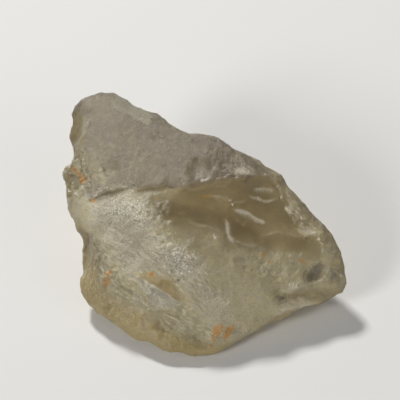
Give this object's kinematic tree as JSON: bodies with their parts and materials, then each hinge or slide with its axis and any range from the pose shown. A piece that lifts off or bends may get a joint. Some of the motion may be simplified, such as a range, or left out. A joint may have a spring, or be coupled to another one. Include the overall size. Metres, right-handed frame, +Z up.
{
  "type": "desert glass specimen",
  "caption": "Natural piece of pale khaki-yellow silica glass, sand-frosted and chipped, with glassy hollows under a sloping crest and a flat foot to lie on.",
  "frame": {"origin": "on the table, under the middle of the specimen's bounding box, which is on its flat foot's plane", "axes": "+Z up from the table; +X to the right along the specimen's longest extent, towards its thin tip; +Y to the back, where the crest stands, so the broad face slopes down towards -Y"},
  "size_m": [0.0342, 0.0306, 0.0156],
  "materials": {
    "desert_glass": "natural silica glass, translucent pale khaki-yellow, sand-blasted to a fine frost on the raised parts and glossier in the hollows"
  },
  "bodies": {
    "root": {"desert_glass": "desert_glass"}
  },
  "joints": []
}
